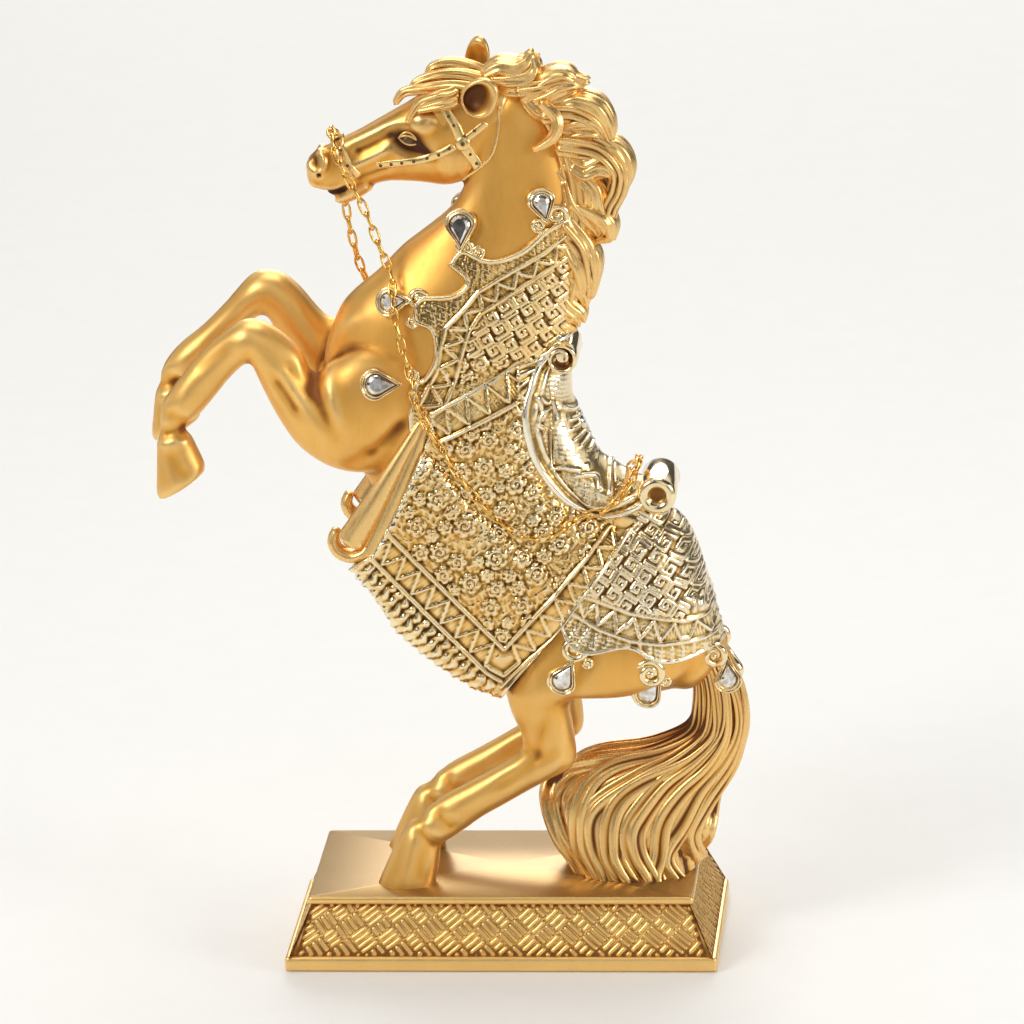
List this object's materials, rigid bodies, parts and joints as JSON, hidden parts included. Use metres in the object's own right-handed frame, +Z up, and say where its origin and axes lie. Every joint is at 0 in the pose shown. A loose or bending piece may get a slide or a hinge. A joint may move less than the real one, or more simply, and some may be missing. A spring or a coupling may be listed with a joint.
{
  "type": "horse statue",
  "caption": "Gold statue of a rearing horse in ornate saddle cloths with set stones and a chain rein, on a carved oblong plinth.",
  "frame": {"origin": "middle of the plinth's underside", "axes": "+Z up, -X the way the horse faces, -Y the side shown in the picture"},
  "size_m": [0.18, 0.072, 0.2766],
  "materials": {
    "casting": "cast resin under satin gold paint",
    "plinth": "cast resin under satin gold paint",
    "chain": "polished",
    "stone": "mirror-backed glass"
  },
  "bodies": {
    "root": {"horse": "casting", "plinth": "plinth", "rein_chain": "chain", "gem_buttock_far": "stone", "gem_buttock_near": "stone", "gem_chest_far": "stone", "gem_chest_near": "stone", "gem_neck_back_far": "stone", "gem_neck_back_near": "stone", "gem_neck_front_far": "stone", "gem_neck_front_near": "stone", "gem_shoulder_far": "stone", "gem_shoulder_near": "stone", "gem_tail_far": "stone", "gem_tail_near": "stone", "gem_thigh_far": "stone", "gem_thigh_near": "stone", "gem_seat": "stone"}
  },
  "joints": []
}
